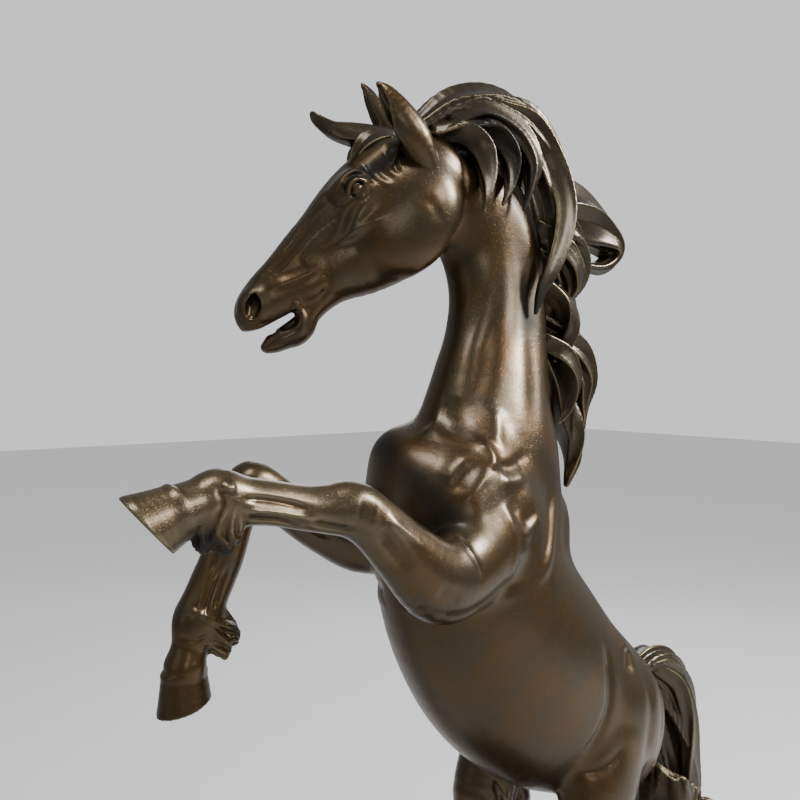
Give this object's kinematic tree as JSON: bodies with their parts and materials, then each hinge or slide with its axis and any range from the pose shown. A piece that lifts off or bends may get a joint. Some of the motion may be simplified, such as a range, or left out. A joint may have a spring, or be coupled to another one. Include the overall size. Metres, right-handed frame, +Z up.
{
  "type": "bronze rearing horse statue",
  "caption": "Cast bronze horse rearing on its hind legs beside a tree stump, on rocky ground over a stepped black marble base with felt below.",
  "frame": {"origin": "centre of the felt sheet's underside, where the statue rests", "axes": "+Z up; the horse faces -X and its left side is towards -Y"},
  "size_m": [0.519, 0.196, 0.7492],
  "materials": {
    "bronze": "brown patina, waxed, rubbed golden on the edges",
    "hair_bronze": "dark brown patina in the grooves, rubbed golden on the ridges",
    "dark_bronze": "near-black brown patina, rough, rubbed lighter on the ridges",
    "black_marble": "polished, with fine grey veins",
    "felt": "matt woven felt",
    "steel": "zinc plated"
  },
  "bodies": {
    "root": {"torso_casting": "bronze", "head_and_neck_casting": "bronze", "left_foreleg_casting": "bronze", "right_foreleg_casting": "bronze", "left_hind_leg_casting": "bronze", "right_hind_leg_casting": "bronze", "left_ear": "bronze", "right_ear": "bronze", "stump_casting": "dark_bronze", "ground_casting": "dark_bronze", "marble_base": "black_marble", "felt_sheet": "felt", "forelock_blown": "hair_bronze", "forelock_fall": "hair_bronze", "mane_crest": "hair_bronze", "mane_front_lock": "hair_bronze", "mane_second_lock": "hair_bronze", "mane_flying_lock": "hair_bronze", "mane_curl_upper": "hair_bronze", "mane_curl_middle": "hair_bronze", "mane_curl_lower": "hair_bronze", "mane_curl_last": "hair_bronze", "mane_right_upper": "hair_bronze", "mane_right_middle": "hair_bronze", "mane_right_lower": "hair_bronze", "tail": "hair_bronze", "stud_front": "steel", "washer_front": "steel", "nut_front": "steel", "stud_rear_left": "steel", "washer_rear_left": "steel", "nut_rear_left": "steel", "stud_rear_right": "steel", "washer_rear_right": "steel", "nut_rear_right": "steel"}
  },
  "joints": []
}
